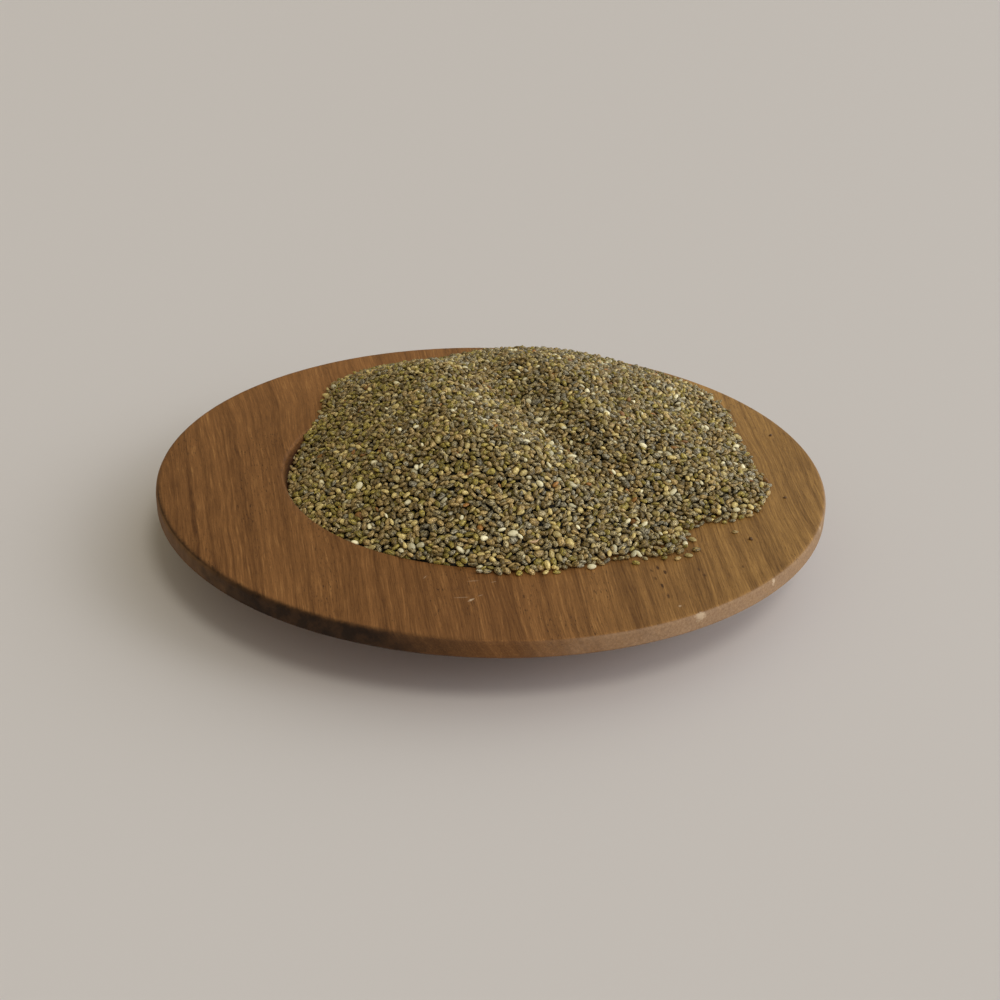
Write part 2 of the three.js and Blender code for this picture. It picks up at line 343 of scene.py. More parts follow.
def oiled_wood():
    material, tree, shader = new_material("oiled_wood")
    where = place(tree, "ShaderNodeTexCoord").outputs["Object"]
    grain = use_group(tree, LONG_GRAIN, Vector=where)
    # redder and darker on the left of the board, more golden on the right
    golden = ramp(tree, grain["Across"], -12.0, 70.0)
    dark = mix(tree, golden, colour(88, 54, 24), colour(98, 65, 27))
    light = mix(tree, golden, colour(160, 111, 62), colour(190, 146, 82))
    level = maths(tree, "MULTIPLY_ADD", grain["Bands"], 0.42, 0.1)
    level = maths(tree, "MULTIPLY_ADD", grain["Streaks"], 0.38, level)
    for middle, half, change in GROWTH_BANDS:
        away = maths(tree, "ABSOLUTE", maths(tree, "SUBTRACT", grain["Across"], middle))
        level = maths(tree, "MULTIPLY_ADD", ramp(tree, away, half, 0.0), change, level)
    level = maths(tree, "MULTIPLY_ADD", grain["Strokes"], -0.22, level)
    parts = place(tree, "ShaderNodeSeparateXYZ")
    give(tree, parts.inputs[0], where)
    x, y, z = parts.outputs
    # painted sheen: the back of the rim is painted paler, for the sheen of a bright backdrop seen
    # at a grazing angle
    painted_back_sheen = ramp(tree, y, 0.0, 60 * MM)
    level = maths(tree, "MULTIPLY_ADD", painted_back_sheen, 0.2, level, clamp=True)
    tone = mix(tree, level, dark, light)
    fibres = maths(tree, "MULTIPLY", ramp(tree, grain["Streaks"], 0.7, 1.0), grain["Bands"])
    tone = tinted(tree, tone, fibres, 0.25, colour(204, 158, 96))
    tone = tinted(tree, tone, grain["Pores"], 0.35, colour(64, 38, 18))
    tone = tinted(tree, tone, grain["Flecks"], 0.7, colour(50, 30, 16))

    reach = maths(tree, "SQRT", maths(tree, "MULTIPLY_ADD", x, x, maths(tree, "MULTIPLY", y, y)))
    # painted shade: the well's wall is painted dark red-brown, for the shade in the narrow gap
    # between the seeds and the wall
    wall = ramp(tree, reach, (WELL_RADIUS + 0.1) * MM, (WELL_RADIUS - 0.8) * MM)
    above_floor = ramp(tree, z, (WELL_FLOOR - 3) * MM, (WELL_FLOOR - 1) * MM)
    wall = maths(tree, "MULTIPLY", wall, above_floor)
    tone = tinted(tree, tone, wall, 0.9, colour(54, 26, 11))
    # end grain at the front and back of the edge is darker
    edge = ramp(tree, reach, (PLATE_RADIUS - 0.55) * MM, (PLATE_RADIUS - 0.2) * MM)
    end_grain = ramp(tree, maths(tree, "ABSOLUTE", y), 45 * MM, PLATE_RADIUS * MM)
    end_grain = maths(tree, "MULTIPLY", edge, end_grain)
    tone = tinted(tree, tone, end_grain, 0.4, colour(78, 50, 26))
    # painted shade: a ragged dark patch at the front left, on the edge and a little way in on the
    # rim, for the side that faces away from the light
    front_left = maths(tree, "MULTIPLY_ADD", x, -0.7, maths(tree, "MULTIPLY", y, -0.71))
    front_left = maths(tree, "MULTIPLY_ADD", noise(tree, where, 90.0, 3.0), 14 * MM, front_left)
    ragged = maths(tree, "MULTIPLY_ADD", noise(tree, where, 900.0, 3.0), 0.8 * MM, reach)
    ragged = ramp(tree, ragged, (PLATE_RADIUS - 1.3) * MM, (PLATE_RADIUS + 0.3) * MM)
    front_left_shade = maths(tree, "MULTIPLY", ragged, ramp(tree, front_left, 62 * MM, 79 * MM))
    blotches = ramp(tree, noise(tree, where, 260.0, 4.0, 0.6), 0.4, 0.65)
    front_left_shade_tone = mix(tree, blotches, colour(18, 10, 5), colour(56, 37, 21))
    tone = tinted(tree, tone, front_left_shade, 0.92, front_left_shade_tone)
    # painted light: the edge on the left is painted paler, in spots, for light that the dim left of
    # the sky does not give it; this is not wear
    on_left = maths(tree, "MULTIPLY_ADD", noise(tree, where, 300.0, 3.0), -20 * MM, x)
    worn = maths(tree, "MULTIPLY", edge, ramp(tree, on_left, -56 * MM, -88 * MM))
    tone = tinted(tree, tone, worn, 0.32, colour(196, 146, 96))
    # the edge on the right has lost its oil: paler, greyer and mottled
    on_right = maths(tree, "MULTIPLY_ADD", noise(tree, where, 130.0, 3.0), 30 * MM, x)
    dry = maths(tree, "MULTIPLY", edge, ramp(tree, on_right, 12 * MM, 60 * MM))
    mottle = noise(tree, where, 1700.0, 4.0, 0.75)
    dry_tone = mix(tree, mottle, colour(84, 58, 36), colour(208, 174, 138))
    tone = tinted(tree, tone, dry, 0.75, dry_tone)
    for marks, mark_tone in (
        (PALE_MARKS, colour(208, 184, 152)),
        (DARK_MARKS, colour(58, 32, 18)),
    ):
        for mark_x, mark_y, turn, long, wide, strength in marks:
            mark = use_group(tree, MARK, Vector=where, Turn=(0, 0, math.radians(turn)),
                             Spot=(mark_x * MM, mark_y * MM, RIM_TOP * MM),
                             Reach=(long * MM, wide * MM, MARK_DEPTH * MM))
            tone = tinted(tree, tone, mark["Mask"], strength, mark_tone)
    gloss = maths(tree, "MULTIPLY_ADD", noise(tree, where, 45.0, 3.0), 0.12, 0.48)
    gloss = maths(tree, "MULTIPLY_ADD", grain["Streaks"], 0.08, gloss)
    gloss = maths(tree, "MULTIPLY_ADD", edge, 0.12, gloss, clamp=True)
    relief = maths(tree, "MULTIPLY_ADD", grain["Pores"], -1.0, grain["Streaks"])
    relief = maths(tree, "MULTIPLY_ADD", grain["Flecks"], -0.7, relief)
    give(tree, shader["Base Color"], tone)
    give(tree, shader["Roughness"], gloss)
    give(tree, shader["Normal"], bump(tree, relief, 0.3, 0.06 * MM))
    shader["Specular IOR Level"].default_value = 0.2
    return material


plate = turned_plate()
plate.data.materials.append(oiled_wood())
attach(plate, "root")
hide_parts("dish")


# ---------------------------------------------------------------------------------------------
# The bed of the heap: the seeds out of sight, under the two layers that show. It fills the well
# and follows the heap's ridges, sunk below them, and is as dark as the gaps between seeds.
# ---------------------------------------------------------------------------------------------
# Each ridge is a line of (x, y, height above the rim) with one slope down its sides.
RIDGES = [
    {"line": [(3, -18, 13.3), (-5, -10, 14.9), (-15, 33, 11.8)], "slope": 0.46, "crown": 7.6},
    {"line": [(3, -18, 9.8), (35.5, -37.7, 1)], "slope": 0.3, "crown": 6.9},
    {"line": [(11.6, 42.8, 10.8), (19.6, 28.7, 12.8), (25.7, 3, 11.4), (46.4, -9, 5.4)],
     "slope": 0.32, "crown": 3.1},
]
RIDGE_BLEND = 0.8
# Along these lines the seeds have sunk a little: by the left wall, and further back on the rim.
HOLLOWS = [
    {"line": [(-50, 6), (-40, -31), (-18, -48)], "depth": 1.4, "reach": 12},
    {"line": [(-47, 30), (-47, 34)], "depth": 0.9, "reach": 8},
]
HEAP_TOP = RIM_TOP + 0.6
HEAP_REACH = 75.5
BED_SUNK = 1.75
BED_STEPS, BED_RINGS = 180, 44
# The bed's underside, down the well's wall and across its floor: radius, height.
BED_UNDERSIDE = [
    (51.6, RIM_TOP + 0.03), (49.9, RIM_TOP - 1.4), (47.4, 10.6), (44.2, WELL_FLOOR + 0.1),
    (0, WELL_FLOOR + 0.05),
]
# Where the heap spills over the rim, past SPILL_FROM, the bed ends where its top comes down to
# BED_CLEAR above the wood, and from WOOD_FROM on it is never less than BED_ON_RIM above it.
SPILL_FROM = 51.8
BED_CLEAR = 0.12
WOOD_FROM, BED_ON_RIM = 50, 0.1
# Elsewhere it ends in the well, at BED_IN_WELL, and so do the two upper rings of its underside:
# those wider than the first number stay lower than the bed's top by the second.
BED_IN_WELL = 49.6
TUCKED_IN = [(51, 0.8), (48.5, 1.6)]


def segments(line, x, y):
    """Each segment's ends, where along it (x, y) is nearest, and how far away."""
    for start, end in zip(line, line[1:]):
        span_x, span_y = end[0] - start[0], end[1] - start[1]
        along = ((x - start[0]) * span_x + (y - start[1]) * span_y) / (span_x ** 2 + span_y ** 2)
        share = np.clip(along, 0, 1)
        away = np.hypot(x - start[0] - share * span_x, y - start[1] - share * span_y)
        yield start, end, share, away


def ridge_height(ridge, x, y):
    """Height of one ridge above the rim, round at its crest and straight down its sides."""
    best = -np.inf
    for start, end, share, away in segments(ridge["line"], x, y):
        fall = ridge["slope"] * (np.hypot(away, ridge["crown"]) - ridge["crown"])
        best = np.maximum(best, start[2] + (end[2] - start[2]) * share - fall)
    return best


def hollow_depth(hollow, x, y):
    away = np.min([segment[3] for segment in segments(hollow["line"], x, y)], axis=0)
    return hollow["depth"] * np.exp(-(away / hollow["reach"]) ** 2)


def heap_height(x, y):
    """Height of the heap above the rim, in millimetres."""
    heights = np.stack([ridge_height(ridge, x, y) for ridge in RIDGES])
    top = heights.max(0)
    blended = top + RIDGE_BLEND * np.log(np.exp((heights - top) / RIDGE_BLEND).sum(0))
    return blended - sum(hollow_depth(hollow, x, y) for hollow in HOLLOWS)


def bed_top(x, y):
    return HEAP_TOP + heap_height(x, y) - BED_SUNK


def seed_bed():
    outline = [(r, 0.0) for r in np.linspace(0, 1, BED_RINGS)] + BED_UNDERSIDE
    bm = turned(outline, BED_STEPS, 1e-4)
    reach = np.linspace(BED_IN_WELL, HEAP_REACH - 1, 120)
    for vert in bm.verts:
        r = math.hypot(vert.co.x, vert.co.y)
        angle = math.atan2(vert.co.y, vert.co.x)
        c, s = math.cos(angle), math.sin(angle)
        spill = reach[bed_top(reach * c, reach * s) > RIM_TOP + BED_CLEAR]
        spills = len(spill) and spill.max() > SPILL_FROM
        toe = spill.max() if spills else BED_IN_WELL
        if vert.co.z == 0.0:
            # the top: rings from the middle out to the toe, on the ridges
            at = r * toe
            height = bed_top(at * c, at * s)
            if at > WOOD_FROM:
                height = max(height, RIM_TOP + BED_ON_RIM)
            vert.co = (at * c, at * s, height)
        elif not spills and r > TUCKED_IN[-1][0]:
            lower = next(lower for least, lower in TUCKED_IN if r > least)
            low = bed_top(toe * c, toe * s) - lower
            vert.co = (vert.co.x * (toe / r), vert.co.y * (toe / r), min(low, vert.co.z))
        vert.co *= MM
    return in_scene("seed_bed", smooth_mesh("seed_bed", bm))


def buried_seeds():
    """Seeds too deep for much light: dark ovals the size of a seed."""
    material, tree, shader = new_material("buried_seeds")
    cells = place(tree, "ShaderNodeTexVoronoi", feature="F1")
    give(tree, cells.inputs["Vector"], place(tree, "ShaderNodeTexCoord").outputs["Object"])
    cells.inputs["Scale"].default_value = 620.0
    pick = place(tree, "ShaderNodeSeparateColor")
    give(tree, pick.inputs[0], cells.outputs["Color"])
    tone = mix(tree, pick.outputs[0], colour(50, 40, 22), colour(92, 76, 44))
    tone = mix(tree, ramp(tree, cells.outputs["Distance"], 0.2, 0.55), tone, colour(14, 10, 5))
    give(tree, shader["Base Color"], tone)
    give(tree, shader["Roughness"], maths(tree, "MULTIPLY_ADD", pick.outputs[1], 0.2, 0.5))
    domes = maths(tree, "SUBTRACT", 1.0, cells.outputs["Distance"])
    give(tree, shader["Normal"], bump(tree, domes, 0.8, 0.5 * MM))
    return material


bed = seed_bed()
bed.data.materials.append(buried_seeds())
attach(bed, "root")
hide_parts("chia_heap")


# ---------------------------------------------------------------------------------------------
# The chia seeds: smooth flattened ovals about 2 mm long, one end a little narrower. Most coats
# are marbled grey-brown, some olive, straw or cream, a few rust. They were poured, so each lies
# where it came to rest on the ones below it.
# ---------------------------------------------------------------------------------------------
SEED_SIZE = np.array([1.95, 1.27, 0.84])
SIZE_SPREAD = 0.13
SIZE_LEAST, SIZE_MOST = 0.62, 1.28
WIDTH_RANGE = (0.86, 1.2)
THICK_RANGE = (0.9, 1.2)
# Pouring: seeds go down while a spot is lower than this, and how far one may stand above the top.
STILL_LOW = 0.42
STANDS_PROUD = 0.06
# The smallest seeds then drop into the holes that are left.
SMALL_SHARE, STILL_DEEP = 0.8, 0.85
# A seed is tried on the lowest of the spots drawn for it. The low spots are listed anew after so
# many seeds, and a spot where none fits is spent, with the cells next to it.
SPOTS_DRAWN, SPOTS_TRIED = 12, 3
POURED_AT_ONCE = 300
SPENT_CELLS = 2
# Letting down: the share of a seed's outline that feels the slope, the steepest that it tips along
# and across, how much it wobbles, and how deep it beds into the ones below.
FELT_SHARE = 0.75
STEEPEST_ALONG, STEEPEST_ACROSS = 1.1, 1.3
WOBBLE = 0.3
BEDDED = 0.05
# Where seeds lie: the least height of the heap above the rim, on the rim, more of it beside the
# well's edge, and on that edge itself; how far the edge goes out and in; and how much further out
# the well's wall is taken to be.
SPILL_LEAST = -0.05
EDGE_CLEAR, EDGE_CLEAR_WIDTH = 1.2, 3.0
EDGE_LEAST, EDGE_OUT, EDGE_IN = -0.35, 0.3, 0.25
WALL_GIVE = 0.5
# The square grid that the seeds land on, and how many cells each way a seed can touch.
CELL = 0.1
HEAP_LOW = np.array([-56.0, -60.0])
HEAP_HIGH = np.array([74.0, 80.0])
PATCH = 15
draws = np.random.default_rng(7)

# The mix of kinds changes from left to right, from this x over this width.
MIX_FROM, MIX_WIDTH = -30, 40
# Share of the seeds on the left and on the right, palest and darkest of the coat, strength of its
# marbling and of its outline.
SEED_KINDS = {
    "grey": (0.16, 0.25, (208, 190, 138), (58, 47, 28), 0.92, 0.75),
    "ash": (0.05, 0.11, (196, 186, 152), (57, 49, 35), 0.92, 0.75),
    "umber": (0.2, 0.17, (168, 144, 88), (48, 37, 19), 0.88, 0.65),
    "olive": (0.26, 0.13, (190, 171, 86), (66, 55, 22), 0.8, 0.72),
    "tan": (0.21, 0.18, (206, 178, 116), (86, 67, 35), 0.78, 0.7),
    "straw": (0.1, 0.1, (232, 211, 140), (136, 113, 58), 0.62, 0.5),
    "cream": (0.02, 0.035, (246, 238, 196), (190, 174, 126), 0.3, 0.3),
    "rust": (0.01, 0.01, (176, 126, 66), (90, 60, 30), 0.5, 0.4),
}
KIND_NAMES = list(SEED_KINDS)

# Seeds that rolled clear of the heap: x, y, turn in degrees, kind.
STRAYS = [
    (-0.5, -52.9, 4, "grey"), (3.3, -52.2, 8, "straw"), (6.3, -53.3, 80, "olive"),
    (14.3, -52.4, 10, "olive"), (19.3, -49.4, 15, "ash"), (21.8, -49.9, 20, "cream"),
    (54.9, -32.1, 5, "tan"), (43.2, -43.6, -12, "straw"), (44.8, -36.4, -35, "straw"),
    (43.0, -38.2, 75, "cream"), (64.4, -12.6, 20, "grey"), (66.3, -8.0, 60, "ash"),
    (40.7, -45.2, 30, "tan"), (31.4, -47.6, -20, "olive"), (45.2, -41.0, 12, "umber"),
]
# Pale seeds that stand out on the heap's front: x, y, kind.
STANDOUTS = [
    (5.9, -39.2, "straw"), (-1.1, -45.5, "cream"), (18.6, -33.6, "cream"), (19.1, -39.3, "cream"),
    (25.6, -36.6, "straw"), (22.9, -44.2, "straw"), (13.2, -38.5, "tan"), (0.4, -48.5, "straw"),
    (-6.2, -47.0, "cream"), (7.7, -33.2, "straw"), (6.1, -27.3, "straw"), (11.0, -29.9, "cream"),
]


def empty_dish():
    """Height of what the seeds land on over the grid, the wood or the bed of the heap, and the
    cells of the grid that carry seeds."""
    from_axis = np.hypot(grid_x, grid_y)
    wall = RIM_TOP - (WELL_RADIUS + WALL_GIVE - from_axis) / math.tan(WALL_LEAN)
    wood = np.clip(wall, WELL_FLOOR, RIM_TOP)
    # next to the well's edge a thin film of seeds slides back in, and the wood stays clean
    by_edge = np.clip(1 - (from_axis - WELL_RADIUS) / EDGE_CLEAR_WIDTH, 0, 1)
    film = SPILL_LEAST + EDGE_CLEAR * by_edge
    spilt = (heap_top > HEAP_TOP + film) & (from_axis < HEAP_REACH)
    # where the heap is level with the rim, seeds lie on the well's rounded edge too
    on_edge = (heap_top > HEAP_TOP + EDGE_LEAST) & (from_axis < WELL_RADIUS + EDGE_OUT)
    carries = (from_axis < WELL_RADIUS - EDGE_IN) | on_edge | spilt
    return np.maximum(wood, heap_top - BED_SUNK), np.flatnonzero(carries)


def let_down(x, y, turn, half, wobble):
    """Lets a seed down at (x, y): it tips to the slope under it and stops where it first touches.
    Returns its centre, its axes, and what it adds to the surface."""
    i = int(round((x - HEAP_LOW[0]) / CELL))
    j = int(round((y - HEAP_LOW[1]) / CELL))
    ground = surface[j - PATCH:j + PATCH + 1, i - PATCH:i + PATCH + 1]
    dx = patch_x + columns[i] - x
    dy = patch_y + rows[j] - y
    c, s = math.cos(turn), math.sin(turn)
    u = dx * c + dy * s
    v = dy * c - dx * s
    foot = (u / half[0]) ** 2 + (v / half[1]) ** 2 < FELT_SHARE
    lift = ground[foot] - ground[foot].mean()
    tip_u = (u[foot] * lift).sum() / (u[foot] ** 2).sum() + wobble[0]
    tip_v = (v[foot] * lift).sum() / (v[foot] ** 2).sum() + wobble[1]
    tip_u = np.clip(tip_u, -STEEPEST_ALONG, STEEPEST_ALONG)
    tip_v = np.clip(tip_v, -STEEPEST_ACROSS, STEEPEST_ACROSS)
    up = np.array([tip_v * s - tip_u * c, -tip_u * s - tip_v * c, 1.0])
    up /= np.linalg.norm(up)
    long = np.array([c, s, 0.0]) - up * (up[0] * c + up[1] * s)
    long /= np.linalg.norm(long)
    axes = np.stack([long, np.cross(up, long), up], 1)
    # the ellipsoid's lower and upper surface over each cell, from a quadratic in z
    form = (axes / half ** 2) @ axes.T
    linear = form[0, 2] * dx + form[1, 2] * dy
    constant = form[0, 0] * dx * dx + 2 * form[0, 1] * dx * dy + form[1, 1] * dy * dy - 1
    inside = linear * linear > form[2, 2] * constant
    root = np.sqrt((linear * linear - form[2, 2] * constant)[inside])
    under = (linear[inside] + root) / form[2, 2]
    over = (root - linear[inside]) / form[2, 2]
    height = (ground[inside] + under).max() - BEDDED
    return np.array([x, y, height]), axes, (ground, inside, height + over)


def settle(seed):
    """Adds a seed that was let down to the surface."""
    ground, inside, top = seed[2]
    ground[inside] = np.maximum(ground[inside], top)


def seed_half_sizes():
    size = np.clip(draws.normal(1, SIZE_SPREAD), SIZE_LEAST, SIZE_MOST)
    proportions = np.array([1, draws.uniform(*WIDTH_RANGE), draws.uniform(*THICK_RANGE)])
    return SEED_SIZE / 2 * size * proportions


def pour(size, still_low):
    """Drops seeds one by one on the lowest spots of the heap, until none fits below its top."""
    seeds = []
    spent = np.zeros(surface.shape, bool)
    while True:
        low = in_heap[((heap_top - surface > still_low) & ~spent).ravel()[in_heap]]
        if not len(low):
            return seeds
        for _ in range(POURED_AT_ONCE):
            half = size * seed_half_sizes()
            tries = []
            picks = low[draws.integers(0, len(low), SPOTS_DRAWN)]
            depth = heap_top.ravel()[picks] - surface.ravel()[picks]
            for pick in picks[np.argsort(-depth)[:SPOTS_TRIED]]:
                x = columns[pick % len(columns)] + draws.uniform(-CELL, CELL) / 2
                y = rows[pick // len(columns)] + draws.uniform(-CELL, CELL) / 2
                seed = let_down(x, y, draws.uniform(0, math.tau), half, draws.normal(0, WOBBLE, 2))
                tries.append((seed[0][2] - heap_top.ravel()[pick], pick, seed))
            proud, _, seed = min(tries, key=lambda each: each[0])
            if proud < STANDS_PROUD:
                settle(seed)
                seeds.append((seed[0], seed[1], half))
                continue
            for _, pick, _ in tries:
                j, i = divmod(pick, len(columns))
                spent[j - SPENT_CELLS:j + SPENT_CELLS + 1,
                      i - SPENT_CELLS:i + SPENT_CELLS + 1] = True


# Turns a ball's poles from the z axis to the x axis.
LENGTHWISE = Matrix.Rotation(math.pi / 2, 4, "Y")


def seed_shape(narrow, blunt):
    """One seed of half-length 1 along each axis, its poles at the two ends: its points, the
    corners of its faces, four each with the last repeated in triangles, and their true number."""
    bm = bmesh.new()
    bmesh.ops.create_uvsphere(bm, u_segments=8, v_segments=6, radius=1.0, matrix=LENGTHWISE)
    for vert in bm.verts:
        girth = 1 - narrow * vert.co.x + blunt * vert.co.x ** 2
        vert.co.y *= girth
        vert.co.z *= girth
    bmesh.ops.recalc_face_normals(bm, faces=bm.faces)
    bm.verts.index_update()
    points = np.array([v.co[:] for v in bm.verts])
    faces = np.array([[v.index for v in (f.verts[:] + f.verts[-1:])[:4]] for f in bm.faces])
    corners = np.array([len(f.verts) for f in bm.faces])
    bm.free()
    return points, faces, corners


# A seed's one draw is spread out by these, for its marbling and for its shade.
MARBLING_SPREAD, SHADE_SPREAD = 71.0, 913.7


def coat_group():
    """A seed's coat in the seed's own axes: marbling, a dark line inside the edge, and a shade
    from 0 to 1 that is the same all over one seed."""
    inputs = [("Place", "Vector"), ("Draw", "Float")]
    outputs = [(name, "Float") for name in ("Marbling", "Outline", "Shade")]
    tree, given, out = new_group("seed_coat", inputs, outputs)
    offset = maths(tree, "MULTIPLY", given["Draw"], MARBLING_SPREAD)
    veins = noise(tree, given["Place"], 3.1, 3.0, 0.7, w=offset)
    give(tree, out["Marbling"], ramp(tree, veins, 0.48, 0.54))
    flat = place(tree, "ShaderNodeVectorMath", operation="MULTIPLY")
    give(tree, flat.inputs[0], given["Place"])
    give(tree, flat.inputs[1], (1, 1, 0))
    length = place(tree, "ShaderNodeVectorMath", operation="LENGTH")
    give(tree, length.inputs[0], flat.outputs[0])
    broken = noise(tree, given["Place"], 3.0, 1.0, 0.5, w=offset)
    worn = maths(tree, "MULTIPLY_ADD", broken, 0.5, length.outputs["Value"])
    line = maths(tree, "MULTIPLY", ramp(tree, worn, 0.83, 0.95), ramp(tree, worn, 1.1, 0.98))
    give(tree, out["Outline"], line)
    shade = maths(tree, "MULTIPLY", given["Draw"], SHADE_SPREAD)
    give(tree, out["Shade"], maths(tree, "FRACT", shade))
    return tree


SEED_COAT = coat_group()


def seed_coat(name, pale, dark, marbling, outline):
    material, tree, shader = new_material("coat_" + name)
    at = place(tree, "ShaderNodeAttribute", attribute_name="seed_place").outputs["Vector"]
    draw = place(tree, "ShaderNodeAttribute", attribute_name="seed_draw").outputs["Fac"]
    coat = use_group(tree, SEED_COAT, Place=at, Draw=draw)
    tone = tinted(tree, colour(*pale), coat["Marbling"], marbling, colour(*dark))
    tone = tinted(tree, tone, coat["Outline"], outline, colour(*dark))
    level = maths(tree, "MULTIPLY_ADD", coat["Shade"], 0.68, 0.62)
    tone = mix(tree, 1.0, tone, vector_of(tree, level, level, level), "MULTIPLY")
    give(tree, shader["Base Color"], tone)
    give(tree, shader["Roughness"], maths(tree, "MULTIPLY_ADD", coat["Marbling"], 0.12, 0.32))
    give(tree, shader["Normal"], bump(tree, coat["Marbling"], 0.15, 0.03 * MM))
    shader["Specular IOR Level"].default_value = 0.36
    return material


def joined_seeds(name, seeds, shapes, material):
    """Many seeds as one mesh, with each point's place in its own seed and the seed's own draw."""
    _, faces, corners = shapes[0]
    forms = np.array([shape[0] for shape in shapes])[draws.integers(0, len(shapes), len(seeds))]
    centres, axes, halves = (np.array(part) for part in zip(*seeds))
    points = np.einsum("nij,nkj->nki", axes, forms * halves[:, None]) + centres[:, None]
    count = forms.shape[1]
    loops = [row[:size] for n in range(len(seeds))
             for row, size in zip((faces + count * n).tolist(), corners)]
    mesh = bpy.data.meshes.new(name)
    mesh.from_pydata((points.reshape(-1, 3) * MM).tolist(), [], loops)
    place_in_seed = mesh.attributes.new("seed_place", "FLOAT_VECTOR", "POINT")
    place_in_seed.data.foreach_set("vector", forms.ravel().astype(np.float32))
    own_draw = mesh.attributes.new("seed_draw", "FLOAT", "POINT")
    repeated = np.repeat(draws.random(len(seeds)), count)
    own_draw.data.foreach_set("value", repeated.astype(np.float32))
    mesh.shade_smooth()
    mesh.materials.append(material)
    return in_scene(name, mesh)


columns, rows = (low + CELL * np.arange(int((high - low) / CELL) + 1)
                 for low, high in zip(HEAP_LOW, HEAP_HIGH))
grid_x, grid_y = np.meshgrid(columns, rows)
patch_x, patch_y = np.meshgrid(*[CELL * np.arange(-PATCH, PATCH + 1)] * 2)
heap_top = HEAP_TOP + heap_height(grid_x, grid_y)
surface, in_heap = empty_dish()

seeds, kinds = [], []
for x, y, turn, kind in STRAYS:
    half = seed_half_sizes()
    stray = let_down(x, y, math.radians(turn), half, (0, 0))
    settle(stray)
    seeds.append((stray[0], stray[1], half))
    kinds.append(KIND_NAMES.index(kind))
poured = pour(1.0, STILL_LOW)
poured += pour(SMALL_SHARE, STILL_DEEP)
# the olive seeds are commoner on the left
left_mix, right_mix = np.cumsum([kind[:2] for kind in SEED_KINDS.values()], axis=0).T
rightness = np.clip([(seed[0][0] - MIX_FROM) / MIX_WIDTH for seed in poured], 0, 1)[:, None]
limits = left_mix / left_mix[-1] * (1 - rightness) + right_mix / right_mix[-1] * rightness
kinds += list((draws.random((len(poured), 1)) >= limits).sum(1))
seeds += poured
centres = np.array([seed[0] for seed in seeds])
for x, y, kind in STANDOUTS:
    top = HEAP_TOP + heap_height(np.array([x]), np.array([y]))[0]
    nearest = np.linalg.norm(centres - (x, y, top), axis=1).argmin()
    kinds[nearest] = KIND_NAMES.index(kind)

# How much narrower one end is, and how blunt both are.
SEED_SHAPES = [seed_shape(0.13, 0.0), seed_shape(0.26, 0.05), seed_shape(0.06, 0.22)]
for number, (name, (_, _, *coat)) in enumerate(SEED_KINDS.items()):
    mine = [seed for seed, kind in zip(seeds, kinds) if kind == number]
    piece = joined_seeds("seeds_" + name, mine, SEED_SHAPES, seed_coat(name, *coat))
    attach(piece, "root")
    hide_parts("chia_heap")


# ---------------------------------------------------------------------------------------------
# Chaff that came with the seeds: thin bits of stalk and husk, bent as they dried, that lie on the
# heap, and three dark crumbs of husk on the rim.
# ---------------------------------------------------------------------------------------------
# Bits that can be told apart: x, y, turn in degrees, length, width, bend, tone from dark to pale.
SLIVERS = [
    (6.2, -43.0, 59, 2.6, 0.3, 0.2, 0.5), (9.4, -46.5, 20, 2.2, 0.55, 0.35, 1.0),
    (27.5, -38.0, 130, 1.9, 0.26, 0.15, 0.7),
]
# The others: least and most of how far out, which way and their turn, then of their length,
# width, bend and tone.
OTHER_SLIVERS = 12
SLIVER_PLACE = (5, 0, 0), (40.0, math.tau, 360)
SLIVER_FORM = (1.2, 0.18, -0.3, 0.4), (2.4, 0.35, 0.3, 0.9)
# Crumbs on the rim: x, y, size. Each corner is drawn in or out by a share of the size.
CRUMBS = [(57.9, -35.2, 1.2), (69.0, -14.1, 1.0), (71.2, 21.5, 1.0)]
CRUMB_SHAPE = np.array([1.0, 0.7, 0.55])
CRUMB_RAGGED = (0.55, 1.15)


def add_sliver(bm, tones, x, y, turn, length, width, bend, tone):
    half = np.array([length, width, width * 0.55]) / 2
    centre, axes, _ = let_down(x, y, math.radians(turn), half, (0, 0))
    made = bmesh.ops.create_uvsphere(bm, u_segments=6, v_segments=8, radius=1.0, matrix=LENGTHWISE)
    for vert in made["verts"]:
        local = np.array(vert.co) * half + (0, bend * (vert.co.x ** 2 - 0.5), 0)
        vert.co = Vector((centre + axes @ local) * MM)
        vert[tones] = tone


def add_crumb(bm, tones, x, y, across):
    half = across / 2 * CRUMB_SHAPE
    centre, axes, _ = let_down(x, y, draws.uniform(0, math.tau), half, (0, 0))
    made = bmesh.ops.create_icosphere(bm, subdivisions=2, radius=1.0)
    for vert in made["verts"]:
        local = np.array(vert.co) * half * draws.uniform(*CRUMB_RAGGED)
        vert.co = Vector((centre + axes @ local) * MM)
        vert[tones] = 0.0


def dry_husk():
    material, tree, shader = new_material("dry_husk")
    where = place(tree, "ShaderNodeTexCoord").outputs["Object"]
    tone = place(tree, "ShaderNodeAttribute", attribute_name="husk_tone").outputs["Fac"]
    fibre = noise(tree, where, 2500.0, 2.0, 0.6)
    stalk = mix(tree, fibre, colour(120, 112, 72), colour(200, 192, 146))
    pale = mix(tree, fibre, colour(196, 152, 108), colour(238, 212, 170))
    crumb = mix(tree, fibre, colour(44, 28, 14), colour(128, 92, 48))
    shown = mix(tree, ramp(tree, tone, 0.55, 0.9), stalk, pale)
    give(tree, shader["Base Color"], mix(tree, ramp(tree, tone, 0.35, 0.05), shown, crumb))
    give(tree, shader["Roughness"], maths(tree, "MULTIPLY_ADD", fibre, 0.2, 0.5))
    give(tree, shader["Normal"], bump(tree, fibre, 0.4, 0.06 * MM))
    return material


